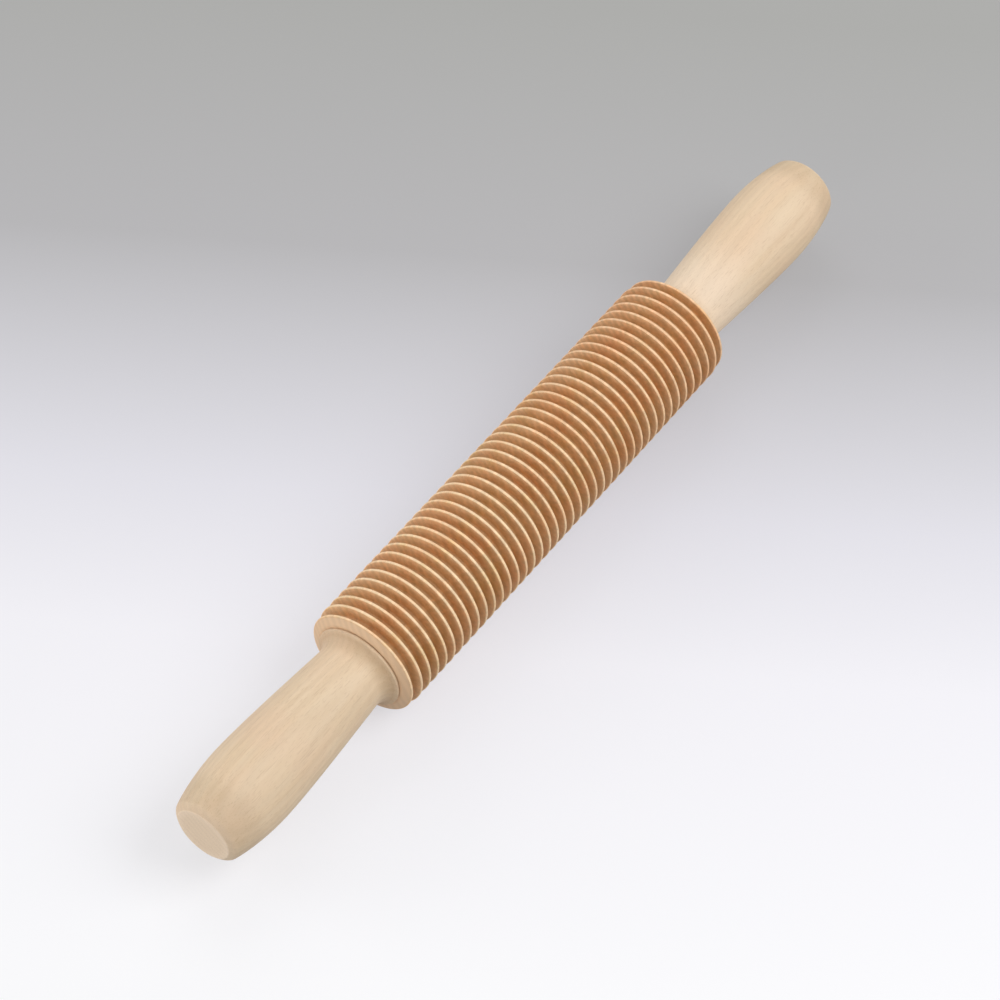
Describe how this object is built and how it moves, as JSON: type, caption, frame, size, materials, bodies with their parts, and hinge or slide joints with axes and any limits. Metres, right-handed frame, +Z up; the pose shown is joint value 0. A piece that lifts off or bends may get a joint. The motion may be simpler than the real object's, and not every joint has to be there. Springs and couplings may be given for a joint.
{
  "type": "pasta cutter rolling pin",
  "caption": "Wooden rolling pin with a ringed barrel that cuts rolled dough into noodles, spinning on a steel axle between two turned handles.",
  "frame": {"origin": "centre of the barrel, on the axis that it spins on", "axes": "+X along the pin towards handle_right, +Z up with the pin lying level; the pin is round about X"},
  "size_m": [0.3706, 0.045, 0.045],
  "materials": {
    "barrel_wood": "bare turned beech, matt, darker in the grooves",
    "handle_wood": "bare sanded pale wood, matt, fine straight grain",
    "steel": "drawn bar, satin",
    "nylon": "turned natural nylon"
  },
  "bodies": {
    "handles": {"handle_left": "handle_wood", "handle_right": "handle_wood", "axle_rod": "steel", "thrust_washer_left": "steel", "thrust_washer_right": "steel"},
    "barrel": {"roller_barrel": "barrel_wood", "bush_left": "nylon", "bush_right": "nylon"}
  },
  "joints": [
    {"name": "barrel_spin", "type": "hinge", "parent": "handles", "child": "barrel", "pos_m": [0, 0, 0], "axis": [1, 0, 0], "continuous": true}
  ]
}
